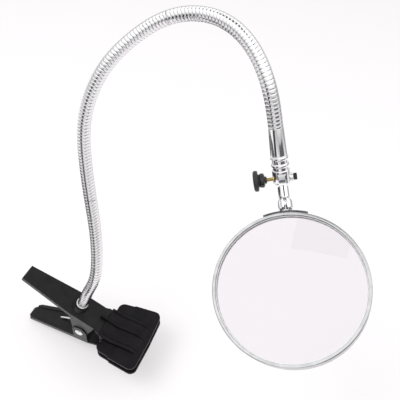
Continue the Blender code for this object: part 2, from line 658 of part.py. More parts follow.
def upper_leg_station():
    away = Vector((PIVOT_X, PIVOT_Z)) - UPPER_START
    return away.dot(UPPER_ALONG) - UPPER_LEG_REACH


def upper_leg_end(clear):
    return tuple(upper_point(upper_leg_station(), -clear))


def upper_leg_y():
    """The upper leg lies just inside the near flange, where the tapered lever is narrowest along it."""
    share = upper_leg_station() / upper_ear_back()
    half_width = UPPER_END_HALF_WIDTH + (EAR_HALF_WIDTH - UPPER_END_HALF_WIDTH) * share
    return SPRING_WIRE / 2 + SPRING_SIDE_GAP + SHEET - half_width


def lower_leg_end(clear):
    handle, back = (Vector(p) for p in lower_lever_line()[:2])
    along = (back - handle).normalized()
    inward = Vector((-along.y, along.x))
    away = Vector((PIVOT_X, PIVOT_Z)) - handle
    spot = handle + along * (away.dot(along) - LOWER_LEG_REACH)
    return tuple(spot + inward * clear)


# ---------------------------------------------------------------- base of the arm

def arm_base():
    place = base_frame()
    boss_top = FIT + BOSS_HEIGHT
    dish = boss_top - BOSS_DISH
    bore = STUD_RADIUS + FIT
    boss = turned("base_boss", [
        (bore, FIT), (BOSS_RADIUS, FIT), (BOSS_RADIUS, FIT + 0.29 * BOSS_HEIGHT),
        (BOSS_TOP_RADIUS + 0.35 * MM, FIT + 0.54 * BOSS_HEIGHT), (BOSS_TOP_RADIUS, boss_top),
        (DISH_RIM_RADIUS, boss_top), (DISH_FLOOR_RADIUS, dish), (bore, dish)], "black_plastic", place, closed=True)
    foot = dish + FIT
    top = foot + FERRULE_LENGTH
    stud_end = -SHEET - FIT - WASHER_HEIGHT - FIT - NUT_HEIGHT - STUD_TIP
    ferrule = turned("base_ferrule", [
        (0, stud_end), (STUD_RADIUS, stud_end), (STUD_RADIUS, foot), (FERRULE_FOOT_RADIUS, foot),
        (0.88 * FERRULE_RADIUS, foot + 0.8 * MM), (FERRULE_RADIUS, foot + 2.4 * MM), (FERRULE_RADIUS, top - 0.4 * MM),
        (FERRULE_RADIUS - 0.4 * MM, top), (SPIGOT_RADIUS, top), (SPIGOT_RADIUS, top + SPIGOT_LENGTH),
        (0, top + SPIGOT_LENGTH)], "chrome", place)
    washer_top = -SHEET - FIT
    washer = turned("base_washer", ring_profile(bore, NUT_RADIUS, washer_top - WASHER_HEIGHT, washer_top),
                    "bright_steel", place, SMALL_SEGMENTS, closed=True)
    nut_top = washer_top - WASHER_HEIGHT - FIT
    nut = hexagon_nut("base_nut", NUT_RADIUS, bore, nut_top - NUT_HEIGHT, nut_top, "bright_steel", place)
    return boss, ferrule, washer, nut


def ring_profile(inner, outer, low, high):
    return [(inner, low), (outer, low), (outer, high), (inner, high)]


def hexagon_nut(name, radius, bore, low, high, slot, place):
    nut = turned(name, [(0, low), (radius, low), (radius, high), (0, high)], slot, place, 6)
    drill(nut, f"{name}_bore", bore, place, low - CUT_LAP, high + CUT_LAP)
    return nut


# ---------------------------------------------------------------- gooseneck

def arm_tube(name, route, start, end, step=ARM_STEP):
    """A stretch of the arm: rings of the tube's outside and its bore, square to the route."""
    count = max(3, round((end - start) / step) + 1)
    bm = bmesh.new()
    spot, along = along_route(route, start)
    side = along.orthogonal().normalized()
    loops = []
    for i in range(count):
        spot, ahead = along_route(route, start + (end - start) * i / (count - 1))
        side = along.rotation_difference(ahead) @ side
        along = ahead
        loops.append([[bm.verts.new(spot + Quaternion(along, 2 * math.pi * j / TUBE_SEGMENTS) @ side * radius)
                       for j in range(TUBE_SEGMENTS)] for radius in (ARM_RADIUS, ARM_BORE_RADIUS)])
    for j in range(TUBE_SEGMENTS):
        k = (j + 1) % TUBE_SEGMENTS
        for near, far in zip(loops, loops[1:]):
            for wall in (0, 1):
                bm.faces.new((near[wall][j], far[wall][j], far[wall][k], near[wall][k]))
        for cap in (loops[0], loops[-1]):
            bm.faces.new((cap[0][j], cap[0][k], cap[1][k], cap[1][j]))
    return finish_mesh(name, bm, "chrome", smooth=True)


def gooseneck(route):
    """Four stretches of arm with a short flexing piece between each two."""
    total = route[1][-1]
    ends = [0.0] + list(FLEX_PLACES) + [total]
    last = len(ends) - 2
    sections, flexes = [], []
    for i in range(len(ends) - 1):
        start = ends[i] + (FLEX_HALF_LENGTH if i else 0.0)
        end = ends[i + 1] - (FLEX_HALF_LENGTH if i < last else 0.0)
        sections.append(arm_tube(f"arm_section_{i + 1}", route, start, end, ARM_STEP if i else BASE_STEP))
    for i, place in enumerate(FLEX_PLACES):
        reach = FLEX_HALF_LENGTH - FIT
        flexes.append(arm_tube(f"arm_flex_{i + 1}", route, place - reach, place + reach))
    return sections, flexes


def flex_axis(route, distance):
    """A flexing place's centre and the axis that lifts and lowers the arm there."""
    spot, along = along_route(route, distance)
    across = Vector(FLEX_AXIS)
    axis = (across - along * across.dot(along)).normalized()
    return spot, axis


# ---------------------------------------------------------------- head

def head_socket(arm_end, screw):
    slot_start = SCREW_STATION - TANG_RADIUS - 1.5 * MM
    profile = [(0, -SPIGOT_LENGTH), (SPIGOT_RADIUS, -SPIGOT_LENGTH), (SPIGOT_RADIUS, FIT),
               (ARM_RADIUS - 0.1 * MM, FIT), (ARM_RADIUS - 0.1 * MM + SLEEVE_TAPER, SOCKET_SLEEVE),
               (SOCKET_RADIUS, SOCKET_SLEEVE)]
    station = SOCKET_SLEEVE + BAND_WIDTH
    for _ in range(2):
        profile += [(SOCKET_RADIUS, station), (GROOVE_RADIUS, station),
                    (GROOVE_RADIUS, station + GROOVE_WIDTH), (SOCKET_RADIUS, station + GROOVE_WIDTH)]
        station += GROOVE_WIDTH + BAND_WIDTH
    end = SCREW_STATION + SOCKET_END
    profile += [(SOCKET_RADIUS, end - 1.4 * SOCKET_CHAMFER), (SOCKET_RADIUS - SOCKET_CHAMFER, end), (0, end)]
    socket = turned("head_socket", profile, "chrome", arm_end)
    half = TANG_THICKNESS / 2 + FIT
    wide = 2 * SOCKET_RADIUS
    slot = prism("tang_slot_tool", [(-half, -wide), (half, -wide), (half, wide), (-half, wide)],
                 slot_start, end + CUT_LAP, None, arm_end)
    combine(socket, slot, "DIFFERENCE")
    drill(socket, "socket_screw_hole", SCREW_HOLE_RADIUS, screw, -wide, wide)
    return socket


def thumbscrew(screw):
    washer_face = -SOCKET_RADIUS - FIT
    washer_end = washer_face - CLAMP_WASHER_HEIGHT
    nut_face = washer_end - FIT
    nut_end = nut_face - CLAMP_NUT_HEIGHT
    depth = KNOB_BORE_DEPTH
    bore = SCREW_RADIUS + FIT
    shank = turned("thumb_screw", [
        (0, nut_end - SCREW_END), (SCREW_RADIUS, nut_end - SCREW_END), (SCREW_RADIUS, KNOB_TIP + depth - FIT),
        (0, KNOB_TIP + depth - FIT)], "brass", screw, SMALL_SEGMENTS)
    tip, end = KNOB_TIP, KNOB_TIP + KNOB_LENGTH
    hub = KNOB_HUB_RADIUS
    knob = turned("thumb_knob", [
        (0, tip + depth), (bore, tip + depth), (bore, tip), (bore + 0.6 * MM, tip),
        (bore + 0.6 * MM, tip + 0.11 * KNOB_LENGTH), (0.93 * hub, tip + 0.17 * KNOB_LENGTH),
        (hub, tip + 0.24 * KNOB_LENGTH), (hub, tip + 0.43 * KNOB_LENGTH), (0.82 * hub, tip + 0.53 * KNOB_LENGTH),
        (0.86 * hub, tip + 0.59 * KNOB_LENGTH), (KNOB_RADIUS - 0.2 * MM, tip + 0.63 * KNOB_LENGTH),
        (KNOB_RADIUS, tip + 0.7 * KNOB_LENGTH), (KNOB_RADIUS, tip + 0.87 * KNOB_LENGTH),
        (KNOB_RADIUS - 0.7 * MM, end - 0.3 * MM), (0, end)], "knob_plastic", screw)
    nut = hexagon_nut("clamp_nut", CLAMP_NUT_RADIUS, bore, nut_end, nut_face, "black_steel", screw)
    washer = turned("clamp_washer", ring_profile(bore, CLAMP_WASHER_RADIUS, washer_end, washer_face),
                    "grey_steel", screw, SMALL_SEGMENTS, closed=True)
    return shank, knob, nut, washer


def tilt_stem(stem, screw):
    """The stem: a flat tang on the thumbscrew, a round shank, and a split cup for the ball."""
    cup_start = BALL_STATION - BALL_RADIUS / 2
    cup_end = BALL_STATION + CUP_LENGTH
    body = turned("tilt_stem", [
        (0, STEM_SHOULDER), (STEM_RADIUS - 0.5 * MM, STEM_SHOULDER), (STEM_RADIUS, STEM_SHOULDER + 0.5 * MM),
        (STEM_RADIUS, cup_start - CUP_FLARE), (CUP_RADIUS, cup_start), (CUP_RADIUS, cup_end - 1.2 * MM),
        (CUP_RADIUS - 0.7 * MM, cup_end), (0, cup_end)], "chrome", stem)
    outline = arc(0, 0, TANG_RADIUS, 180, 360, 12) + [(TANG_RADIUS - 0.9 * MM, STEM_SHOULDER + 1.0 * MM),
                                                      (-TANG_RADIUS + 0.9 * MM, STEM_SHOULDER + 1.0 * MM)]
    sideways = stem @ Matrix(((0, 0, 1, 0), (1, 0, 0, 0), (0, 1, 0, 0), (0, 0, 0, 1)))
    tang = prism("tang_tool", outline, -TANG_THICKNESS / 2, TANG_THICKNESS / 2, None, sideways)
    combine(body, tang, "UNION")
    drill(body, "tang_hole", SCREW_HOLE_RADIUS, screw, -TANG_THICKNESS, TANG_THICKNESS)
    cavity = BALL_RADIUS + PIVOT_FIT
    rounds = [(cavity * math.sin(math.radians(a)), BALL_STATION - cavity * math.cos(math.radians(a)))
              for a in range(0, 126, 18)]
    mouth = [(CUP_MOUTH_RADIUS, cup_end - 1.0 * MM), (CUP_MOUTH_RADIUS, cup_end + CUT_LAP), (0, cup_end + CUT_LAP)]
    rounds = [p for p in rounds if p[1] < BALL_STATION or p[0] > CUP_MOUTH_RADIUS]
    socket = turned("ball_cavity_tool", [(0, rounds[0][1])] + rounds[1:] + mouth, None, stem)
    combine(body, socket, "DIFFERENCE")
    half = SAW_CUT / 2
    wide = 2 * CUP_RADIUS
    cut = prism("saw_cut_tool", [(-half, -wide), (half, -wide), (half, wide), (-half, wide)],
                cup_start - CUP_FLARE / 2, cup_end + CUT_LAP, None, stem)
    combine(body, cut, "DIFFERENCE")
    return body


def ball_stud(ball):
    saddle_top = BALL_TO_RING - FIT - SADDLE_THICKNESS
    neck = 0.5 * BALL_RADIUS
    rounds = [(BALL_RADIUS * math.sin(math.radians(a)), -BALL_RADIUS * math.cos(math.radians(a)))
              for a in range(0, 151, 15)]
    flange = saddle_top - FIT
    return turned("ball_stud", [(0, -BALL_RADIUS)] + rounds[1:] + [
        (neck, flange - 0.8 * MM), (1.8 * neck, flange - 0.8 * MM), (1.8 * neck, flange),
        (stud_shank(), flange), (stud_shank(), BALL_TO_RING - FIT - 0.2 * MM),
        (0, BALL_TO_RING - FIT - 0.2 * MM)], "bright_steel", ball)


def stud_shank():
    return 0.42 * BALL_RADIUS


# ---------------------------------------------------------------- lens and ring

def rivet_frames(lens):
    """Placements of the two saddle rivets, Z pointing out of the ring."""
    frames = []
    for angle in (-RIVET_ANGLE, RIVET_ANGLE):
        turn = Matrix.Rotation(angle, 4, "Z")
        out = turn @ Vector((1, 0, 0))
        spot = lens @ Vector((0, 0, RIVET_PLANE))
        frames.append(frame_at(spot, lens.to_3x3() @ out, lens.to_3x3() @ Vector((0, 0, 1))))
    return frames


def saddle_bracket(lens, ball):
    """An arched strap on the ring's top that carries the ball stud. Local X of lens points to the ball."""
    inner = RING_RADIUS + FIT
    outer = inner + SADDLE_THICKNESS
    half = SADDLE_WIDTH / 2
    bm = bmesh.new()
    corners = [bm.verts.new((r, 0, z)) for r, z in ring_profile(inner, outer, -half, half)]
    start = bm.faces.new(corners)
    bmesh.ops.rotate(bm, verts=corners, cent=(0, 0, 0), matrix=Matrix.Rotation(-SADDLE_HALF_ANGLE, 3, "Z"))
    bmesh.ops.spin(bm, geom=[start], cent=(0, 0, 0), axis=(0, 0, 1), angle=2 * SADDLE_HALF_ANGLE, steps=12)
    strap = finish_mesh("saddle_bracket", bm, "grey_steel", lens, smooth=True)
    drill(strap, "stud_shank_hole", stud_shank() + FIT, ball, BALL_TO_RING - FIT - SADDLE_THICKNESS - CUT_LAP,
          BALL_TO_RING + CUT_LAP)
    for side, place in zip(("left", "right"), rivet_frames(lens)):
        drill(strap, f"saddle_hole_{side}", RIVET_RADIUS + FIT, place, inner - CUT_LAP, outer + CUT_LAP)
    return strap


def saddle_rivets(lens):
    head_foot = RING_RADIUS + FIT + SADDLE_THICKNESS + FIT
    tail_top = LENS_RADIUS - 0.1 * MM
    rivets = []
    for side, place in zip(("left", "right"), rivet_frames(lens)):
        rivets.append(turned(f"saddle_rivet_{side}", [
            (0, tail_top - 0.6 * MM), (RIVET_TAIL_RADIUS, tail_top - 0.6 * MM), (RIVET_TAIL_RADIUS, tail_top),
            (RIVET_RADIUS, tail_top), (RIVET_RADIUS, head_foot), (2 * RIVET_RADIUS, head_foot),
            (1.7 * RIVET_RADIUS, head_foot + 0.5 * MM), (0, head_foot + 0.8 * MM)], "bright_steel", place,
            SMALL_SEGMENTS))
    return rivets


def lens_ring(lens):
    half = RING_DEPTH / 2
    inner = LENS_RADIUS + FIT
    ring = turned("lens_ring", [
        (RING_RADIUS, half), (RING_RADIUS, -half), (inner, -half), (inner, half - RING_LIP),
        (RING_LIP_RADIUS, half - RING_LIP), (RING_LIP_RADIUS, half)], "chrome", lens, RING_SEGMENTS, closed=True)
    for side, place in zip(("left", "right"), rivet_frames(lens)):
        drill(ring, f"ring_hole_{side}", RIVET_RADIUS + FIT, place, inner - CUT_LAP, RING_RADIUS + CUT_LAP)
    return ring


def lens_seats(lens):
    seat_top = RING_DEPTH / 2 - RING_LIP - FIT
    seat = turned("lens_seat_ring", ring_profile(SEAT_INNER, LENS_RADIUS, seat_top - SEAT_HEIGHT, seat_top),
                  "bright_steel", lens, RING_SEGMENTS, closed=True)
    keeper = turned("retaining_ring", ring_profile(RETAINER_INNER, LENS_RADIUS, KEEPER_TOP - RETAINER_HEIGHT,
                                                   KEEPER_TOP), "bright_steel", lens, RING_SEGMENTS, closed=True)
    return seat, keeper


def magnifying_lens(lens):
    """A biconvex lens with a ground edge."""
    def sag(radius):
        return (LENS_RADIUS ** 2 - radius ** 2) / (2 * LENS_CURVE)

    radii = [LENS_RADIUS * i / 5 for i in range(6)]
    front = [(r, LENS_FRONT + sag(r)) for r in radii]
    back = [(r, LENS_FRONT - LENS_EDGE - sag(r)) for r in reversed(radii)]
    return turned("lens", front + back, "glass", lens, RING_SEGMENTS)


# ---------------------------------------------------------------- the whole object

def build():
    clear_scene()
    route = arm_route()
    arm_end, screw, stem, ball, lens = head_frames()

    jaw_axis = pivot_empty("jaw_hinge_axis", pin_frame())
    flex_axes, parent = [], None
    for i, place in enumerate(FLEX_PLACES):
        spot, axis = flex_axis(route, place)
        parent = pivot_empty(f"arm_flex_axis_{i + 1}", frame_at(spot, axis), parent)
        flex_axes.append(parent)
    tilt_axis = pivot_empty("head_tilt_axis", screw, flex_axes[-1])
    knob_axis = pivot_empty("knob_axis", screw, flex_axes[-1])
    swivel_axis = pivot_empty("lens_swivel_axis", ball, tilt_axis)

    upper_lever()
    attach(lower_lever(), jaw_axis)
    attach(jaw_pads()[1], jaw_axis)
    pivot_pin()
    torsion_spring()
    arm_base()
    sections, flexes = gooseneck(route)
    for piece, owner in zip(sections[1:], flex_axes):
        attach(piece, owner)
    for piece, owner in zip(flexes[1:], flex_axes):
        attach(piece, owner)
    attach(head_socket(arm_end, screw), flex_axes[-1])
    shank, knob, nut, washer = thumbscrew(screw)
    attach(shank, knob_axis)
    attach(knob, knob_axis)
    attach(nut, flex_axes[-1])
    attach(washer, flex_axes[-1])
    attach(tilt_stem(stem, screw), tilt_axis)
    lens_pieces = [ball_stud(ball), saddle_bracket(lens, ball), lens_ring(lens), magnifying_lens(lens)]
    lens_pieces += saddle_rivets(lens) + list(lens_seats(lens))
    for piece in lens_pieces:
        attach(piece, swivel_axis)


build()
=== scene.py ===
import json
import math

import bmesh
import bpy
import numpy as np
from mathutils import Matrix, Quaternion, Vector


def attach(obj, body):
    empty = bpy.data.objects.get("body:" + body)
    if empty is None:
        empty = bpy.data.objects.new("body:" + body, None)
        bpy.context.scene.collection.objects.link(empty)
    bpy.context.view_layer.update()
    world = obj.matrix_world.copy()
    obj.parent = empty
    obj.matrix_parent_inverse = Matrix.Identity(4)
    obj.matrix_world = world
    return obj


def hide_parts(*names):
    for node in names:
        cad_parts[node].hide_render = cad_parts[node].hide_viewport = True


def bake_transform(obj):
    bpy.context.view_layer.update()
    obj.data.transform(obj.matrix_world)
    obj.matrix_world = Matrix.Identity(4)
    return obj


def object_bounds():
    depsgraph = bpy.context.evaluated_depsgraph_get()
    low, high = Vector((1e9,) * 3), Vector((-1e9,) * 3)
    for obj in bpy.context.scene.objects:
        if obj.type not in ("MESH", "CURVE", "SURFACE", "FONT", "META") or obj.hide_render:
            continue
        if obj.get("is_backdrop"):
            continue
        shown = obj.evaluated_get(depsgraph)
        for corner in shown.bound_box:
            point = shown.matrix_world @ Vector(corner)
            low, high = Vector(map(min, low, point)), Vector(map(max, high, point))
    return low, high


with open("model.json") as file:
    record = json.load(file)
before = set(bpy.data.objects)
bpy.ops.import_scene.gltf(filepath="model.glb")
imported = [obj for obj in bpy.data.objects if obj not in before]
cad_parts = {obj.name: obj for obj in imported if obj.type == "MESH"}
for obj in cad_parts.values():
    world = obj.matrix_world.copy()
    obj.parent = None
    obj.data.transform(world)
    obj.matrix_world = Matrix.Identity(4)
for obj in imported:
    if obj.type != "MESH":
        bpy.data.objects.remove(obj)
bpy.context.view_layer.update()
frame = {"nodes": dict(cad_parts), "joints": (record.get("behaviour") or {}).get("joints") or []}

MM = 0.001
JOINTS = {j["name"]: j for j in frame["joints"]}


def linked(name, data):
    thing = bpy.data.objects.new(name, data)
    bpy.context.scene.collection.objects.link(thing)
    return thing


# ---------------------------------------------------------------- camera

def make_camera():
    right = Vector((0.9254, 0.3748, 0.0556)).normalized()
    back = Vector((0.2170, -0.6444, 0.7332)).normalized()
    up = back.cross(right).normalized()
    right = up.cross(back)
    camera = linked("camera", bpy.data.cameras.new("camera"))
    turn = Matrix((right, up, back)).transposed().to_4x4()
    camera.matrix_world = Matrix.Translation((0.11471, -0.16518, 0.39823)) @ turn
    camera.data.sensor_width = 36.0
    camera.data.lens = 41.7
    camera.data.clip_start = 0.01
    camera.data.clip_end = 50.0
    bpy.context.scene.camera = camera


make_camera()


# ---------------------------------------------------------------- layout, the same as the CAD's

def joint_frame(name):
    joint = JOINTS[name]
    return Vector(joint["pos_m"]), Vector(joint["axis"]).normalized()


def frame_at(origin, z_axis, x_axis=None):
    z = Vector(z_axis).normalized()
    x = Vector(x_axis) if x_axis is not None else z.orthogonal()
    x = (x - z * x.dot(z)).normalized()
    return Matrix.Translation(Vector(origin)) @ Matrix((x, z.cross(x), z)).transposed().to_4x4()


HEAD_LENGTH = 35 * MM
STEM_BEND = math.radians(52.6)
BALL_TO_RING = 8.1 * MM
UPPER_LENGTH = 95.4 * MM
BASE_DISTANCE = 55.9 * MM
JAW_BEND = Vector((-10.0, 0, 5.15)) * MM

HEAD_ALONG = Vector((0.354, -0.267, -0.896)).normalized()
SCREW, KNOB_OUT = joint_frame("head_tilt")
BALL, DROP = joint_frame("lens_swivel")
PIVOT, _ = joint_frame("jaw_hinge")
STEM_ALONG = (Matrix.Rotation(STEM_BEND, 3, KNOB_OUT) @ HEAD_ALONG).normalized()
ARM_END = SCREW - HEAD_ALONG * HEAD_LENGTH
LENS_NORMAL = Vector((-0.215, -0.385, 0.898))
LENS_NORMAL = (LENS_NORMAL - DROP * LENS_NORMAL.dot(DROP)).normalized()
RING_RADIUS = 46.0 * MM
LENS_SPOT = BALL + DROP * (BALL_TO_RING + RING_RADIUS)
ARM_FRAME = frame_at(ARM_END, HEAD_ALONG, KNOB_OUT)
SCREW_FRAME = frame_at(SCREW, KNOB_OUT, HEAD_ALONG)
STEM_FRAME = frame_at(SCREW, STEM_ALONG, KNOB_OUT)
BALL_FRAME = frame_at(BALL, DROP, KNOB_OUT)
LENS_FRAME = frame_at(LENS_SPOT, LENS_NORMAL, -DROP)

UPPER_SLOPE = math.radians(24.6)
UPPER_ALONG = Vector((math.cos(UPPER_SLOPE), 0, -math.sin(UPPER_SLOPE)))
UPPER_OUT = Vector((math.sin(UPPER_SLOPE), 0, math.cos(UPPER_SLOPE)))
UPPER_START = JAW_BEND - UPPER_ALONG * UPPER_LENGTH
BASE_FRAME = frame_at(UPPER_START + UPPER_ALONG * BASE_DISTANCE, UPPER_OUT, (0, 1, 0))


# ---------------------------------------------------------------- materials

def new_material(name):
    made = bpy.data.materials.new(name)
    made.use_nodes = True
    tree = made.node_tree
    return made, tree, tree.nodes["Principled BSDF"]


def noise(tree, scale, detail=4.0, stretch=None):
    node = tree.nodes.new("ShaderNodeTexNoise")
    node.inputs["Scale"].default_value = scale
    node.inputs["Detail"].default_value = detail
    where = tree.nodes.new("ShaderNodeTexCoord")
    source = where.outputs["Object"]
    if stretch:
        mapping = tree.nodes.new("ShaderNodeMapping")
        mapping.inputs["Scale"].default_value = stretch
        tree.links.new(source, mapping.inputs["Vector"])
        source = mapping.outputs["Vector"]
    tree.links.new(source, node.inputs["Vector"])
    return node.outputs["Fac"]


def ramp(tree, factor, low, high, start=0.3, end=0.7):
    """A value or colour that goes from low to high as factor goes from start to end."""
    if isinstance(low, (int, float)):
        node = tree.nodes.new("ShaderNodeMapRange")
        node.inputs["From Min"].default_value = start
        node.inputs["From Max"].default_value = end
        node.inputs["To Min"].default_value = low
        node.inputs["To Max"].default_value = high
        tree.links.new(factor, node.inputs["Value"])
        return node.outputs["Result"]
    node = tree.nodes.new("ShaderNodeValToRGB")
    node.color_ramp.elements[0].position = start
    node.color_ramp.elements[1].position = end
    node.color_ramp.elements[0].color = (*low, 1.0)
    node.color_ramp.elements[1].color = (*high, 1.0)
    tree.links.new(factor, node.inputs["Fac"])
    return node.outputs["Color"]


def bump(tree, shader, height, strength, distance):
    node = tree.nodes.new("ShaderNodeBump")
    node.inputs["Strength"].default_value = strength
    node.inputs["Distance"].default_value = distance
    tree.links.new(height, node.inputs["Height"])
    tree.links.new(node.outputs["Normal"], shader.inputs["Normal"])


def surface(name, low, high, rough, metallic=0.0, scale=300.0, bump_scale=1500.0, bump_strength=0.15,
            bump_depth=0.00005, stretch=None, specular=0.5, coat=0.0):
    """A finish whose colour and roughness vary from low to high over patches, with a fine grain."""
    made, tree, shader = new_material(name)
    shader.inputs["Metallic"].default_value = metallic
    shader.inputs["Specular IOR Level"].default_value = specular
    shader.inputs["Coat Weight"].default_value = coat
    shader.inputs["Coat Roughness"].default_value = 0.12
    patches = noise(tree, scale, stretch=stretch)
    tree.links.new(ramp(tree, patches, low, high), shader.inputs["Base Color"])
    smudges = noise(tree, scale * 2.3, 6.0, stretch=stretch)
    tree.links.new(ramp(tree, smudges, rough[0], rough[1]), shader.inputs["Roughness"])
    bump(tree, shader, noise(tree, bump_scale, 2.0, stretch=stretch), bump_strength, bump_depth)
    return made


def groove_chrome():
    """Bright chrome with painted shade that darkens it in the grooves, where the mesh says how deep it lies."""
    made, tree, shader = new_material("gooseneck_chrome")
    shader.inputs["Metallic"].default_value = 1.0
    depth = tree.nodes.new("ShaderNodeAttribute")
    depth.attribute_name = "groove"
    # Painted shade: the colour goes from bright chrome to dark grey as the groove deepens.
    tree.links.new(ramp(tree, depth.outputs["Fac"], (0.84, 0.84, 0.85), (0.16, 0.157, 0.165), 0.25, 0.95),
                   shader.inputs["Base Color"])
    tree.links.new(ramp(tree, noise(tree, 900.0), 0.10, 0.22), shader.inputs["Roughness"])
    bump(tree, shader, noise(tree, 2600.0, 2.0), 0.08, 0.00003)
    return made


def lens_glass():
    made, tree, shader = new_material("clear_glass")
    shader.inputs["Base Color"].default_value = (0.868, 0.852, 0.872, 1.0)
    shader.inputs["Specular IOR Level"].default_value = 0.03
    shader.inputs["Transmission Weight"].default_value = 1.0
    shader.inputs["IOR"].default_value = 1.46
    tree.links.new(ramp(tree, noise(tree, 60.0), 0.0, 0.012), shader.inputs["Roughness"])
    return made


def lever_black():
    """Satin black enamel with a painted sheen: the folded sides, which face sideways, are painted greyer than the
    broad faces.
    """
    made = surface("satin_black_steel", (0.004, 0.004, 0.0043), (0.008, 0.008, 0.0087), (0.38, 0.54), 0.0, 140.0,
                   2400.0, 0.25, 0.00004, specular=0.2)
    tree = made.node_tree
    shader = tree.nodes["Principled BSDF"]
    facing = tree.nodes.new("ShaderNodeNewGeometry")
    split = tree.nodes.new("ShaderNodeSeparateXYZ")
    tree.links.new(facing.outputs["Normal"], split.inputs["Vector"])
    size = tree.nodes.new("ShaderNodeMath")
    size.operation = "ABSOLUTE"
    tree.links.new(split.outputs["Y"], size.inputs[0])
    # Painted sheen mask: the more a face points sideways, along Y, the more it takes the lighter grey instead of the
    # black.
    share = ramp(tree, size.outputs["Value"], 0.0, 1.0, 0.75, 0.98)
    painted_sheen_mix = tree.nodes.new("ShaderNodeMix")
    painted_sheen_mix.data_type = "RGBA"
    tree.links.new(share, painted_sheen_mix.inputs["Factor"])
    source = shader.inputs["Base Color"].links[0].from_socket
    tree.links.new(source, painted_sheen_mix.inputs["A"])
    # The lighter grey painted on the sideways faces is a painted sheen, standing in for their reflection of the
    # bright surroundings.
    tree.links.new(ramp(tree, noise(tree, 420.0), (0.045, 0.045, 0.047), (0.085, 0.085, 0.088)), painted_sheen_mix.inputs["B"])
    tree.links.new(painted_sheen_mix.outputs["Result"], shader.inputs["Base Color"])
    return made


BLACK_STEEL = lever_black()
WORN_EDGE = surface("worn_black_edge", (0.012, 0.012, 0.013), (0.06, 0.06, 0.063), (0.30, 0.45), 0.3, 500.0)
BLACK_PAD = surface("moulded_black_plastic", (0.0025, 0.002, 0.0026), (0.006, 0.005, 0.0062), (0.30, 0.44), 0.0,
                    120.0, 3200.0, 0.18, 0.00005, specular=0.13)
KNOB_BLACK = surface("glossy_black_plastic", (0.006, 0.006, 0.007), (0.013, 0.013, 0.014), (0.18, 0.30), 0.0,
                     200.0, 1800.0, 0.06, 0.00004, specular=0.4, coat=0.25)
WHITE_METAL = surface("satin_nickel", (0.93, 0.93, 0.94), (0.98, 0.98, 0.985), (0.34, 0.46), 1.0, 300.0, 1500.0,
                      0.08, 0.00004)
CHROME = surface("bright_chrome", (0.88, 0.88, 0.89), (0.94, 0.94, 0.95), (0.05, 0.12), 1.0, 220.0, 900.0,
                 0.04, 0.00003)
# Painted shade: the ring's band and lip are chrome painted a darker grey, the band darker than the lip, standing in
# for the dim reflections they show.
RING_CHROME_PAINTED_SHADE = surface("ring_chrome_painted_shade", (0.30, 0.305, 0.31), (0.42, 0.425, 0.43), (0.16, 0.26), 1.0, 160.0, 900.0,
                      0.04, 0.00003)
LIP_CHROME_PAINTED_SHADE = surface("lip_chrome_painted_shade", (0.50, 0.505, 0.51), (0.62, 0.625, 0.63), (0.18, 0.28), 1.0, 160.0, 900.0,
                     0.04, 0.00003)
BRIGHT_STEEL = surface("bright_plain_steel", (0.72, 0.72, 0.73), (0.90, 0.90, 0.91), (0.18, 0.30), 1.0, 300.0,
                       1500.0, 0.10, 0.00004)
GREY_STEEL = surface("grey_plated_steel", (0.075, 0.078, 0.08), (0.15, 0.152, 0.155), (0.30, 0.42), 1.0, 260.0,
                     1800.0, 0.15, 0.00004)
BRASS = surface("turned_brass", (0.62, 0.47, 0.16), (0.80, 0.64, 0.28), (0.20, 0.32), 1.0, 500.0, 1500.0)
NECK_CHROME = groove_chrome()
GLASS = lens_glass()


# ---------------------------------------------------------------- mesh helpers

def add_mesh(name, bm, material, body, replaces=(), smooth_angle=35, place=None):
    bmesh.ops.remove_doubles(bm, verts=bm.verts, dist=1e-7)
    bmesh.ops.recalc_face_normals(bm, faces=bm.faces)
    if place is not None:
        bm.transform(place)
    mesh = bpy.data.meshes.new(name)
    bm.to_mesh(mesh)
    bm.free()
    thing = linked(name, mesh)
    mesh.materials.append(material)
    mesh.shade_smooth()
    mesh.set_sharp_from_angle(angle=math.radians(smooth_angle))
    if body:
        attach(thing, body)
    if replaces:
        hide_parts(*replaces)
    return thing


def in_mm(profile):
    return [(r * MM, z * MM) for r, z in profile]


def rounded(profile, radii, steps=4):
    """The profile with its corners rounded: radii is one radius per point, 0 for sharp."""
    made = []
    count = len(profile)
    for i, (point, radius) in enumerate(zip(profile, radii)):
        if not radius or i in (0, count - 1):
            made.append(point)
            continue
        p, a, b = (np.array(profile[k], float) for k in (i, i - 1, i + 1))
        ua, ub = a - p, b - p
        la, lb = np.linalg.norm(ua), np.linalg.norm(ub)
        cut = min(radius, 0.45 * la, 0.45 * lb)
        start, end = p + ua / la * cut, p + ub / lb * cut
        for k in range(steps + 1):
            t = k / steps
            made.append(tuple((1 - t) ** 2 * start + 2 * t * (1 - t) * p + t * t * end))
    return made


def lathe(name, profile, place, material, body, replaces=(), segments=64, closed=False,
          radial=None):
    """A turned piece. radial(angle, z, r) may change the radius, for knurls."""
    bm = bmesh.new()
    rings = []
    for r, z in profile:
        if r < 1e-9:
            rings.append([bm.verts.new((0, 0, z))] * segments)
            continue
        ring = []
        for j in range(segments):
            angle = 2 * math.pi * j / segments
            radius = radial(angle, z, r) if radial else r
            ring.append(bm.verts.new((radius * math.cos(angle), radius * math.sin(angle), z)))
        rings.append(ring)
    pairs = list(zip(rings, rings[1:])) + ([(rings[-1], rings[0])] if closed else [])
    for near, far in pairs:
        for j in range(segments):
            k = (j + 1) % segments
            corners = []
            for vert in (near[j], near[k], far[k], far[j]):
                if vert not in corners:
                    corners.append(vert)
            if len(corners) > 2:
                bm.faces.new(corners)
    return add_mesh(name, bm, material, body, replaces, place=place)


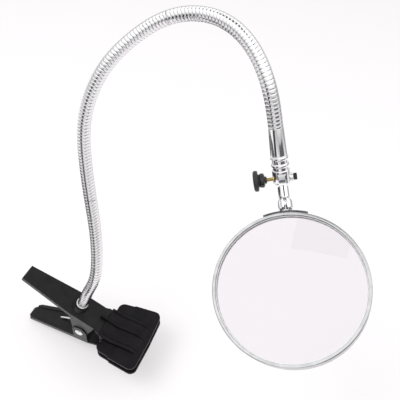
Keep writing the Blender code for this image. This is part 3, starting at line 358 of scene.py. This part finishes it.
def box_cutter(name, size, place):
    bm = bmesh.new()
    bmesh.ops.create_cube(bm, size=1.0, matrix=Matrix.Diagonal((*size, 1.0)))
    mesh = bpy.data.meshes.new(name)
    bm.to_mesh(mesh)
    bm.free()
    cutter = linked(name, mesh)
    cutter.matrix_world = place
    return cutter


def bake(thing):
    """Applies the modifiers, so that none stays on the thing."""
    graph = bpy.context.evaluated_depsgraph_get()
    graph.update()
    mesh = bpy.data.meshes.new_from_object(thing.evaluated_get(graph))
    thing.modifiers.clear()
    thing.data = mesh
    mesh.shade_smooth()
    return mesh


def cut_away(thing, cutter):
    """Cuts with a Boolean and applies it, so that no cutter stays in the scene."""
    modifier = thing.modifiers.new("cut", "BOOLEAN")
    modifier.object = cutter
    modifier.solver = "EXACT"
    mesh = bake(thing)
    bpy.data.objects.remove(cutter)
    mesh.set_sharp_from_angle(angle=math.radians(35))


def skin(bm, rings):
    """Faces between each ring of points and the next, and over both ends."""
    count = len(rings[0])
    for near, far in zip(rings, rings[1:]):
        for j in range(count):
            k = (j + 1) % count
            bm.faces.new((near[j], near[k], far[k], far[j]))
    bm.faces.new(rings[0])
    bm.faces.new(rings[-1])


def sweep(name, points, radius, material, body, segments=16, replaces=()):
    """A round wire along points, with flat ends."""
    bm = bmesh.new()
    points = [Vector(p) for p in points]
    along = (points[1] - points[0]).normalized()
    side = along.orthogonal().normalized()
    rings = []
    last = len(points) - 1
    for i, spot in enumerate(points):
        ahead = (points[min(i + 1, last)] - points[max(i - 1, 0)]).normalized()
        side = along.rotation_difference(ahead) @ side
        along = ahead
        rings.append([bm.verts.new(spot + Quaternion(along, 2 * math.pi * j / segments) @ side * radius)
                      for j in range(segments)])
    skin(bm, rings)
    return add_mesh(name, bm, material, body, replaces, 50)


# ---------------------------------------------------------------- gooseneck

ARM_ROUTE = [
    (-42.29, 0.0, 29.50), (-35.0, 2.5, 50.5), (-31.0, 7.5, 63.0), (-31.5, 16.0, 80.0), (-37.0, 27.5, 104.0),
    (-44.0, 37.5, 131.0), (-50.0, 47.0, 160.0), (-52.0, 55.5, 187.0), (-48.5, 64.5, 208.0), (-39.5, 76.0, 228.0),
    (-26.0, 88.5, 243.5), (-7.5, 98.5, 256.5), (14.5, 101.5, 263.5), (39.0, 96.5, 263.0), (59.0, 86.0, 254.0),
    (72.0, 76.5, 240.0), (81.4, 70.7, 218.6),
]
NECK_PITCH = 2.5 * MM
NECK_RADIUS = 4.83 * MM
NECK_GROOVE = 0.45 * MM
NECK_SEGMENTS = 28
NECK_CUTS = (110 * MM, 271 * MM)


def smooth_route(points, start, end):
    knots = np.array(points, float)
    chords = np.linalg.norm(np.diff(knots, axis=0), axis=1)
    count = len(knots)
    system = np.zeros((count, count))
    right = np.zeros((count, 3))
    system[0, 0] = system[-1, -1] = 1.0
    right[0], right[-1] = start, end
    for i in range(1, count - 1):
        before, after = chords[i - 1], chords[i]
        system[i, i - 1:i + 2] = after, 2 * (before + after), before
        right[i] = 3 * (after / before * (knots[i] - knots[i - 1]) + before / after * (knots[i + 1] - knots[i]))
    slopes = np.linalg.solve(system, right)
    fine = []
    for i, chord in enumerate(chords):
        for t in np.linspace(0, 1, 60, endpoint=i == count - 2):
            near = (1 + 2 * t) * (1 - t) ** 2 * knots[i] + t * t * (3 - 2 * t) * knots[i + 1]
            fine.append(near + chord * t * (1 - t) * ((1 - t) * slopes[i] - t * slopes[i + 1]))
    fine = np.array(fine)
    return fine, np.r_[0, np.cumsum(np.linalg.norm(np.diff(fine, axis=0), axis=1))]


FINE, LENGTH = smooth_route([tuple(Vector(p) * MM) for p in ARM_ROUTE], UPPER_OUT, HEAD_ALONG)


def on_route(distance):
    spot = Vector([np.interp(distance, LENGTH, FINE[:, axis]) for axis in range(3)])
    ahead = Vector([np.interp(distance + 0.5 * MM, LENGTH, FINE[:, axis]) for axis in range(3)])
    back = Vector([np.interp(distance - 0.5 * MM, LENGTH, FINE[:, axis]) for axis in range(3)])
    return spot, (ahead - back).normalized()


def neck_frames(step):
    """Spots and twist-free sides along the whole arm, so that its winding runs on unbroken."""
    frames = []
    _, along = on_route(0.0)
    side = along.orthogonal().normalized()
    count = int(LENGTH[-1] / step)
    for i in range(count + 1):
        distance = LENGTH[-1] * i / count
        spot, ahead = on_route(distance)
        side = along.rotation_difference(ahead) @ side
        along = ahead
        frames.append((distance, spot, along, side.normalized()))
    return frames


def neck_piece(name, frames, start, end, replaces):
    """A stretch of closely wound neck: rounded turns with a narrow groove between each two."""
    bm = bmesh.new()
    # Each point keeps its groove depth, which the chrome material uses to paint shade into the grooves.
    groove_shade_layer = bm.verts.layers.float.new("groove")
    rings = []
    chosen = [f for f in frames if start - 1e-9 <= f[0] <= end + 1e-9]
    for distance, spot, along, side in chosen:
        ring = []
        for j in range(NECK_SEGMENTS):
            angle = 2 * math.pi * j / NECK_SEGMENTS
            phase = (distance / NECK_PITCH - angle / (2 * math.pi)) % 1.0
            across = 2 * phase - 1
            depth = abs(across) ** 10
            radius = NECK_RADIUS - NECK_GROOVE * depth
            vert = bm.verts.new(spot + Quaternion(along, angle) @ side * radius)
            vert[groove_shade_layer] = depth
            ring.append(vert)
        rings.append(ring)
    skin(bm, rings)
    piece = add_mesh(name, bm, NECK_CHROME, None, (), 80)
    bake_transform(piece)
    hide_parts(*replaces)
    return piece


def gooseneck():
    frames = neck_frames(NECK_PITCH / 8)
    ends = (0.0, *NECK_CUTS, LENGTH[-1])
    replaced = (("arm_section_1", "arm_flex_1"), ("arm_section_2", "arm_flex_2"),
                ("arm_section_3", "arm_flex_3", "arm_section_4"))
    for i, name in enumerate(("neck_lower", "neck_middle", "neck_upper")):
        neck_piece(name, frames, ends[i], ends[i + 1], replaced[i])


gooseneck()


# ---------------------------------------------------------------- head

def bulge(start, end, low, high, steps=10):
    """A raised band's profile: a flat ellipse from start to end along the axis."""
    half = (end - start) / 2
    angles = [math.pi * (1 - i / steps) for i in range(steps + 1)]
    return [(low + (high - low) * math.sin(a) ** 0.7, start + half + half * math.cos(a)) for a in angles]


def head():
    ring_r, groove = 5.9, 5.1
    profile = rounded([(0, 0.1), (4.9, 0.1), (5.6, 18.3), (5.3, 18.7)], [0, 0.3, 0.4, 0], 4)
    for start in (18.9, 23.8):
        profile += bulge(start, start + 2.7, groove, ring_r)
    profile += rounded([(groove, 28.7), (ring_r, 28.7), (ring_r, 37.6), (4.6, 39.4), (0, 39.4)],
                       [0, 0.7, 0.6, 0.6, 0], 4)
    profile = in_mm(profile)
    socket = lathe("head_socket_body", profile, ARM_FRAME, CHROME, None, segments=96)
    slot = box_cutter("slot", (5.0 * MM, 30 * MM, 12 * MM), ARM_FRAME @ Matrix.Translation((0, 0, (30.0 + 6) * MM)))
    cut_away(socket, slot)
    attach(socket, "head")
    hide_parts("head_socket")


head()


def knob():
    tip, hub, rim = 9.8, 4.85, 7.0
    profile = [(0, tip + 6.0), (1.75, tip + 6.0), (1.75, tip), (2.4, tip), (2.4, tip + 1.0), (4.2, tip + 1.6),
               (hub, tip + 2.2), (hub, tip + 4.0), (4.3, tip + 4.8), (4.4, tip + 5.3), (rim - 0.3, tip + 5.7),
               (rim, tip + 6.4), (rim, tip + 8.0), (rim - 0.8, tip + 8.8), (2.0, tip + 9.1), (0, tip + 9.1)]
    profile = rounded(in_mm(profile), [0.0] + [0.35 * MM] * (len(profile) - 2) + [0.0], 3)

    def grip(angle, z, r):
        if r > 6.3 * MM:
            return r - 0.16 * MM * (0.5 - 0.5 * math.cos(angle * 36)) ** 2
        return r

    lathe("thumb_knob_body", profile, SCREW_FRAME, KNOB_BLACK, "knob", ("thumb_knob",), 144,
          radial=grip)
    thread = []
    for i in range(81):
        z = -8.5 + (9.8 + 5.5 + 8.5) * i / 80
        thread.append(((1.4 if i % 2 else 1.22) * MM, z * MM))
    lathe("thumb_screw_thread", [(0, thread[0][1])] + thread + [(0, thread[-1][1])], SCREW_FRAME, BRASS, "knob",
          ("thumb_screw",), 32)


knob()


# ---------------------------------------------------------------- lens and ring

def lens_and_ring():
    lens_r, edge, curve = 45.0, 2.5, 300.0
    front = 5.0 - 0.8 - 0.3 - 0.75 - 0.3

    def sag(r):
        return (lens_r ** 2 - r ** 2) / (2 * curve)

    radii = [lens_r * i / 24 for i in range(25)]
    profile = [(r, front + sag(r)) for r in radii] + [(r, front - edge - sag(r)) for r in reversed(radii)]
    lathe("lens_glass", in_mm(profile), LENS_FRAME, GLASS, "lens", ("lens",), 160)
    band = rounded([(46.0, 4.3), (46.0, -4.6), (45.85, -5.0), (45.5, -5.0), (45.3, -4.8), (45.3, 4.3)], [0.1] * 6, 3)
    lip = rounded([(46.0, 4.3), (45.3, 4.3), (45.3, 4.2), (44.1, 4.2), (43.95, 4.6), (44.1, 4.95), (44.6, 5.0),
                   (45.6, 5.0), (46.0, 4.6)], [0.05] * 9, 3)
    # Band and lip take the darker chrome, whose grey is painted shade.
    lathe("ring_band", in_mm(band), LENS_FRAME, RING_CHROME_PAINTED_SHADE, "lens",
          ("lens_ring",), 160, closed=True)
    lathe("ring_lip", in_mm(lip), LENS_FRAME, LIP_CHROME_PAINTED_SHADE, "lens", (), 160,
          closed=True)


lens_and_ring()


# ---------------------------------------------------------------- carried-over nodes

def finish_node(name, material, bevel, edge_material=None):
    node = frame["nodes"][name]
    node.data.materials.clear()
    node.data.materials.append(material)
    if edge_material:
        node.data.materials.append(edge_material)
    edge = node.modifiers.new("edge", "BEVEL")
    edge.width = bevel
    edge.segments = 3
    edge.limit_method = "ANGLE"
    edge.angle_limit = math.radians(35)
    edge.use_clamp_overlap = True
    edge.harden_normals = True
    if edge_material:
        edge.material = 1


finish_node("upper_lever", BLACK_STEEL, 0.3 * MM, WORN_EDGE)
finish_node("lower_lever", BLACK_STEEL, 0.3 * MM, WORN_EDGE)
for node_name, finish in {"base_washer": BRIGHT_STEEL, "base_nut": BRIGHT_STEEL, "clamp_nut": KNOB_BLACK,
                          "lens_seat_ring": WHITE_METAL, "retaining_ring": WHITE_METAL}.items():
    finish_node(node_name, finish, 0.12 * MM)


PAD_VOXEL = 0.42 * MM
PAD_SOFTENING = 5


def moulded(name, node_name, body):
    """A moulded piece: the node's own shape with every edge softened."""
    piece = linked(name, frame["nodes"][node_name].data.copy())
    remesh = piece.modifiers.new("skin", "REMESH")
    remesh.mode = "VOXEL"
    remesh.voxel_size = PAD_VOXEL
    soften = piece.modifiers.new("soften", "SMOOTH")
    soften.factor = 0.5
    soften.iterations = PAD_SOFTENING
    mesh = bake(piece)
    mesh.materials.clear()
    mesh.materials.append(BLACK_PAD)
    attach(piece, body)
    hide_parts(node_name)


moulded("upper_pad_moulding", "upper_jaw_pad", "clamp")
moulded("lower_pad_moulding", "lower_jaw_pad", "jaw")


# ---------------------------------------------------------------- clip hardware

def pivot():
    place = frame_at(PIVOT, (0, 1, 0), (1, 0, 0))
    face = 13.2
    half = [(2.2, face), (3.8, face), (3.8, face + 0.45), (3.3, face + 0.95), (2.3, face + 1.3), (1.2, face + 1.42),
            (0, face + 1.43)]
    profile = [(r, -z) for r, z in reversed(half)] + half
    lathe("pivot_rivet", in_mm(profile), place, WHITE_METAL, "clamp",
          ("pivot_pin",), 48)


def spring():
    """Coil and upper leg stay with the clamp; the lower leg turns with the jaw, its root inside the coil."""
    coil_r, wire_r, pitch = 4.5, 1.0, 2.35
    whole_turns = 3
    upper_end = Vector((-58.85, 0, 24.76))
    lower_end = Vector((-75.81, 0, -24.42))
    centre = PIVOT / MM

    def tangent(end, clockwise):
        away = Vector((end.x - centre.x, end.z - centre.z))
        turn = math.acos(coil_r / away.length)
        return math.atan2(away.y, away.x) + (-turn if clockwise else turn)

    start = tangent(upper_end, True)
    finish = tangent(lower_end, False) - 2 * math.pi
    if finish > start:
        finish -= 2 * math.pi
    sweep_by = finish - start - 2 * math.pi * whole_turns
    drift = pitch * abs(sweep_by) / (2 * math.pi)
    lower_y = 1.93

    def coil_point(share, radius=coil_r):
        angle = start + sweep_by * share
        return Vector((centre.x + radius * math.cos(angle), lower_y - drift * (1 - share),
                       centre.z + radius * math.sin(angle))) * MM

    count = 160
    upper_tip = Vector((upper_end.x, lower_y - drift, upper_end.z)) * MM
    lower_tip = Vector((lower_end.x, lower_y, lower_end.z)) * MM
    points = [upper_tip, upper_tip.lerp(coil_point(0), 0.5)] + [coil_point(i / count) for i in range(count + 1)]
    sweep("spring_coil", points, wire_r * MM, WHITE_METAL, "clamp", 14, ("torsion_spring",))
    root = [coil_point(1 - 0.1 * (6 - i) / 6) for i in range(6)]
    sweep("spring_lower_leg", root + [coil_point(1), coil_point(1).lerp(lower_tip, 0.5), lower_tip],
          (wire_r - 0.04) * MM, WHITE_METAL, "jaw", 14)


def base():
    boss = [(2.75, 0.3), (7.0, 0.3), (7.0, 1.3), (6.6, 1.9), (6.05, 2.4), (5.85, 3.8), (5.1, 3.8), (4.3, 3.3),
            (4.1, 2.9), (2.75, 2.9)]
    boss = rounded(in_mm(boss), [0, 0.1 * MM] + [0.35 * MM] * 6 + [0, 0], 4)
    lathe("base_dish", boss, BASE_FRAME, BLACK_STEEL, "clamp", ("base_boss",), 64, closed=True)
    foot, top = 3.2, 8.4
    tube = [(0, -8.4), (2.45, -8.4), (2.45, foot), (3.6, foot), (4.7, foot + 0.7), (5.3, foot + 2.0),
            (5.35, foot + 2.8), (5.35, top - 0.35), (5.0, top), (2.55, top), (2.55, top + 3), (0, top + 3)]
    tube = rounded(in_mm(tube), [0, 0, 0, 0.2 * MM] + [0.5 * MM] * 5 + [0, 0, 0], 4)
    lathe("base_tube", tube, BASE_FRAME, CHROME, "clamp", ("base_ferrule",), 64)


pivot()
spring()
base()


# ---------------------------------------------------------------- stem, ball and saddle

def stem():
    start, end = 6.9, 23.9
    profile = [(0, start), (3.1, start), (3.6, start + 0.5), (3.6, 15.4), (4.05, 16.4), (4.6, 17.4), (4.75, 20.5),
               (4.6, end - 0.9), (4.0, end), (2.75, end), (2.75, 21.2), (3.3, 20.1), (3.45, 19.0), (3.2, 17.7),
               (2.3, 16.4), (0, 15.6)]
    radii = [0, 0.2, 0.3, 0.8, 0.8, 0.9, 0.9, 0.4, 0.2, 0.1, 0.1, 0.2, 0.2, 0.2, 0.2, 0]
    profile = rounded(in_mm(profile), [r * MM for r in radii], 4)
    body = lathe("stem_socket", profile, STEM_FRAME, CHROME, None, segments=96)
    saw_place = STEM_FRAME @ Matrix.Translation((0, 0, 23.6 * MM))
    cut_away(body, box_cutter("saw", (2.1 * MM, 30 * MM, 14 * MM), saw_place))
    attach(body, "stem")
    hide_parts("tilt_stem")
    bm = bmesh.new()
    outline = [(3.5 * math.cos(math.radians(a)), 3.5 * math.sin(math.radians(a))) for a in range(180, 361, 10)]
    outline += [(2.7, 8.0), (-2.7, 8.0)]
    face = bm.faces.new([bm.verts.new((-2.2 * MM, x * MM, z * MM)) for x, z in outline])
    moved = [v for v in bmesh.ops.extrude_face_region(bm, geom=[face])["geom"] if isinstance(v, bmesh.types.BMVert)]
    bmesh.ops.translate(bm, verts=moved, vec=(4.4 * MM, 0, 0))
    add_mesh("stem_tang", bm, CHROME, "stem", place=STEM_FRAME)


def ball():
    profile = [(3.2 * math.sin(math.radians(a)), -3.2 * math.cos(math.radians(a))) for a in range(0, 151, 6)]
    profile += [(1.6, 4.9), (1.6, 5.3), (2.9, 5.3), (2.9, 6.1), (1.34, 6.1), (1.34, 7.6), (0, 7.6)]
    lathe("ball_and_neck", [(max(r, 0.0) * MM, z * MM) for r, z in profile], BALL_FRAME, BRIGHT_STEEL, "lens",
          ("ball_stud",), 48)


def saddle():
    inner, outer, half = 46.3, 47.7, 4.0
    section = rounded([(inner, -half), (outer, -half), (outer, half), (inner, half), (inner, -half)],
                      [0, 0.35, 0.35, 0, 0], 3)[:-1]
    bm = bmesh.new()
    rings = []
    for i in range(49):
        angle = math.radians(-17 + 34 * i / 48)
        inset = 1.0 if 0 < i < 48 else 0.9
        rings.append([bm.verts.new((r * MM * math.cos(angle), r * MM * math.sin(angle), z * MM * inset))
                      for r, z in section])
    skin(bm, rings)
    add_mesh("saddle_strap", bm, GREY_STEEL, "lens", ("saddle_bracket",), place=LENS_FRAME)
    for side, angle in (("left", -12.5), ("right", 12.5)):
        turn = Matrix.Rotation(math.radians(angle), 4, "Z")
        out = (LENS_FRAME @ turn).to_3x3() @ Vector((1, 0, 0))
        spot = LENS_FRAME @ Vector((0, 0, -3.2 * MM))
        rivet = [(0, 44.3), (1.2, 44.3), (1.2, 44.9), (0.8, 44.9), (0.8, 48.0), (1.6, 48.0), (1.5, 48.4),
                 (1.0, 48.75), (0, 48.8)]
        lathe(f"saddle_fixing_{side}", in_mm(rivet), frame_at(spot, out), BRIGHT_STEEL, "lens",
              (f"saddle_rivet_{side}",), 32)


stem()
ball()
saddle()
washer = [(1.7, -5.3), (1.7, -7.4), (2.7, -7.4), (2.9, -7.2), (2.9, -5.5), (2.7, -5.3)]
lathe("screw_washer", in_mm(washer), SCREW_FRAME, BRIGHT_STEEL, "head",
      ("clamp_washer",), 48, closed=True)


# ---------------------------------------------------------------- stage and light

def plane(name, size, place, material):
    bm = bmesh.new()
    bmesh.ops.create_grid(bm, x_segments=1, y_segments=1, size=size)
    mesh = bpy.data.meshes.new(name)
    bm.to_mesh(mesh)
    bm.free()
    mesh.materials.append(material)
    thing = linked(name, mesh)
    thing.matrix_world = place
    thing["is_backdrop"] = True
    return thing


def stage():
    floor_finish, tree, shader = new_material("pale_floor")
    shader.inputs["Base Color"].default_value = (0.36, 0.35, 0.355, 1.0)
    shader.inputs["Emission Color"].default_value = (1.0, 0.972, 0.985, 1.0)
    shader.inputs["Emission Strength"].default_value = 0.42
    shader.inputs["Roughness"].default_value = 0.9
    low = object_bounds()[0].z
    plane("floor", 4.0, Matrix.Translation((0, 0, low - 1 * MM)), floor_finish)

    world = bpy.data.worlds.new("studio")
    bpy.context.scene.world = world
    world.use_nodes = True
    tree = world.node_tree
    background = tree.nodes["Background"]
    where = tree.nodes.new("ShaderNodeTexCoord")
    split = tree.nodes.new("ShaderNodeSeparateXYZ")
    tree.links.new(where.outputs["Generated"], split.inputs["Vector"])
    colours = tree.nodes.new("ShaderNodeValToRGB")
    stops = [(0.0, 0.80), (0.49, 0.80), (0.53, 0.62), (0.62, 0.55), (0.72, 1.0), (0.85, 1.35), (1.0, 1.35)]
    elements = colours.color_ramp.elements
    elements[0].position, elements[1].position = stops[0][0], stops[-1][0]
    for position, _ in stops[1:-1]:
        elements.new(position)
    for element, (_, grey) in zip(sorted(elements, key=lambda e: e.position), stops):
        element.color = (grey, grey, grey, 1.0)
    rise = tree.nodes.new("ShaderNodeMapRange")
    rise.inputs["From Min"].default_value = -1.0
    rise.inputs["From Max"].default_value = 1.0
    tree.links.new(split.outputs["Z"], rise.inputs["Value"])
    tree.links.new(rise.outputs["Result"], colours.inputs["Fac"])
    tree.links.new(colours.outputs["Color"], background.inputs["Color"])
    background.inputs["Strength"].default_value = 1.0

    for name, grey, centre, normal, size in (
            ("card_front", 0.13, (0.70, -0.34, 0.25), (-0.89, 0.45, 0), (0.80, 0.26)),
            ("card_side", 0.06, (-0.14, -0.50, 0.06), (0, 1, 0), (0.30, 0.64)),
            ("card_back", 0.40, (0.60, 0.52, 0.10), (-0.75, -0.66, 0), (0.50, 0.45)),
            ("card_left", 0.13, (-0.305, -0.17, low), (0, 0, 1), (0.23, 0.55)),
            ("card_far", 0.13, (-0.14, 0.21, low), (0, 0, 1), (0.22, 0.20)),
            ("card_near", 0.06, (-0.06, -0.26, low), (0, 0, 1), (0.14, 0.30)),
            ("card_top", 0.08, (-0.10, 0.26, 0.95), (0, 0, -1), (0.30, 0.40))):
        card_finish = bpy.data.materials.new(name)
        card_finish.use_nodes = True
        shader = card_finish.node_tree.nodes["Principled BSDF"]
        shader.inputs["Base Color"].default_value = (0.0, 0.0, 0.0, 1.0)
        shader.inputs["Specular IOR Level"].default_value = 0.0
        shader.inputs["Emission Color"].default_value = (grey, grey * 0.97, grey * 1.03, 1.0)
        shader.inputs["Emission Strength"].default_value = 1.0
        across = (1, 0, 0) if normal[2] else Vector(normal).cross((0, 0, 1))
        stretch = Matrix.Diagonal((size[0], size[1], 1, 1))
        card = plane(name, 0.5, frame_at(centre, normal, across) @ stretch, card_finish)
        card.visible_camera = False
        card.visible_diffuse = False
        card.visible_transmission = False
        card.visible_shadow = False

    for name, spot, target, size, power in (
            ("key", (-0.5, -0.3, 1.1), (0.0, 0.05, 0.1), 0.7, 9.0),
            ("fill", (0.9, 0.2, 0.8), (0.0, 0.05, 0.1), 0.6, 4.0)):
        light = linked(name, bpy.data.lights.new(name, "AREA"))
        light.data.size = size
        light.data.energy = power
        back = (Vector(spot) - Vector(target)).normalized()
        light.matrix_world = frame_at(spot, back)
        light.visible_glossy = False
        light.visible_transmission = False
    bpy.context.scene.view_settings.view_transform = "Standard"


stage()
